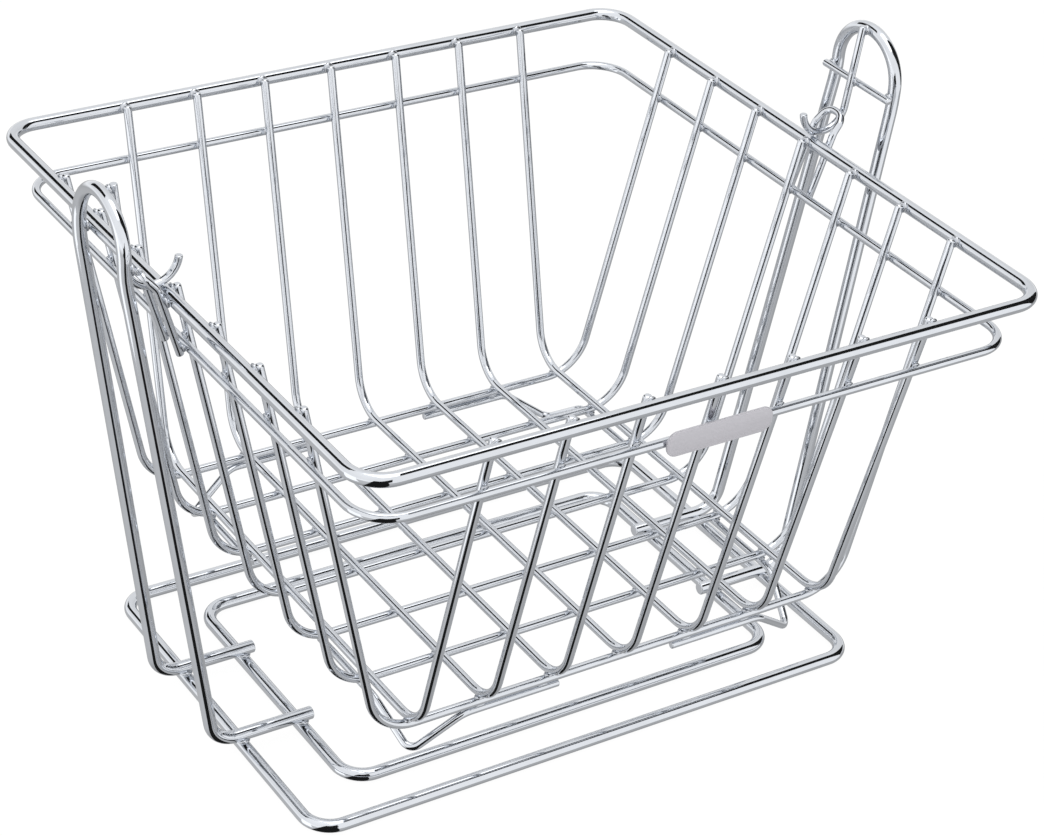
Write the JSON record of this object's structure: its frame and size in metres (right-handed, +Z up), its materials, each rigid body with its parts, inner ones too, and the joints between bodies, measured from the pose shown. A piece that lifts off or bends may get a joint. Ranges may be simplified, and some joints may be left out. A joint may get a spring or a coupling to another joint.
{
  "type": "hanging wire storage basket",
  "caption": "Square basket of welded plated wire that hangs by its eyes from hooks on a wire stand and swings between its uprights",
  "frame": {"origin": "on the ground under the middle of the stand, midway between the two uprights", "axes": "X runs left to right from one upright to the other, Y runs away from the front, where the label plate is, and Z is up"},
  "size_m": [0.3918, 0.3358, 0.2791],
  "materials": {
    "plated_wire": "bright plated steel wire",
    "plain_plate": "satin metal, bare"
  },
  "bodies": {
    "root": {"base_outer_ring": "plated_wire", "base_inner_ring": "plated_wire", "left_upright": "plated_wire", "right_upright": "plated_wire", "left_crossbar": "plated_wire", "right_crossbar": "plated_wire", "left_hook": "plated_wire", "right_hook": "plated_wire"},
    "basket": {"top_rim": "plated_wire", "second_ring": "plated_wire", "width_rib_1": "plated_wire", "width_rib_2": "plated_wire", "width_rib_3": "plated_wire", "width_rib_4": "plated_wire", "width_rib_5": "plated_wire", "width_rib_6": "plated_wire", "width_rib_7": "plated_wire", "depth_rib_1": "plated_wire", "depth_rib_2": "plated_wire", "depth_rib_3": "plated_wire", "depth_rib_4": "plated_wire", "depth_rib_5": "plated_wire", "depth_rib_6": "plated_wire", "depth_rib_7": "plated_wire", "left_eye": "plated_wire", "right_eye": "plated_wire", "front_left_foot": "plated_wire", "front_right_foot": "plated_wire", "back_left_foot": "plated_wire", "back_right_foot": "plated_wire", "label_plate": "plain_plate"}
  },
  "joints": [
    {"name": "basket_swing", "type": "hinge", "parent": "root", "child": "basket", "pos_m": [0, 0, 0.23618], "axis": [1, 0, 0], "range_deg": [-20, 20]}
  ]
}
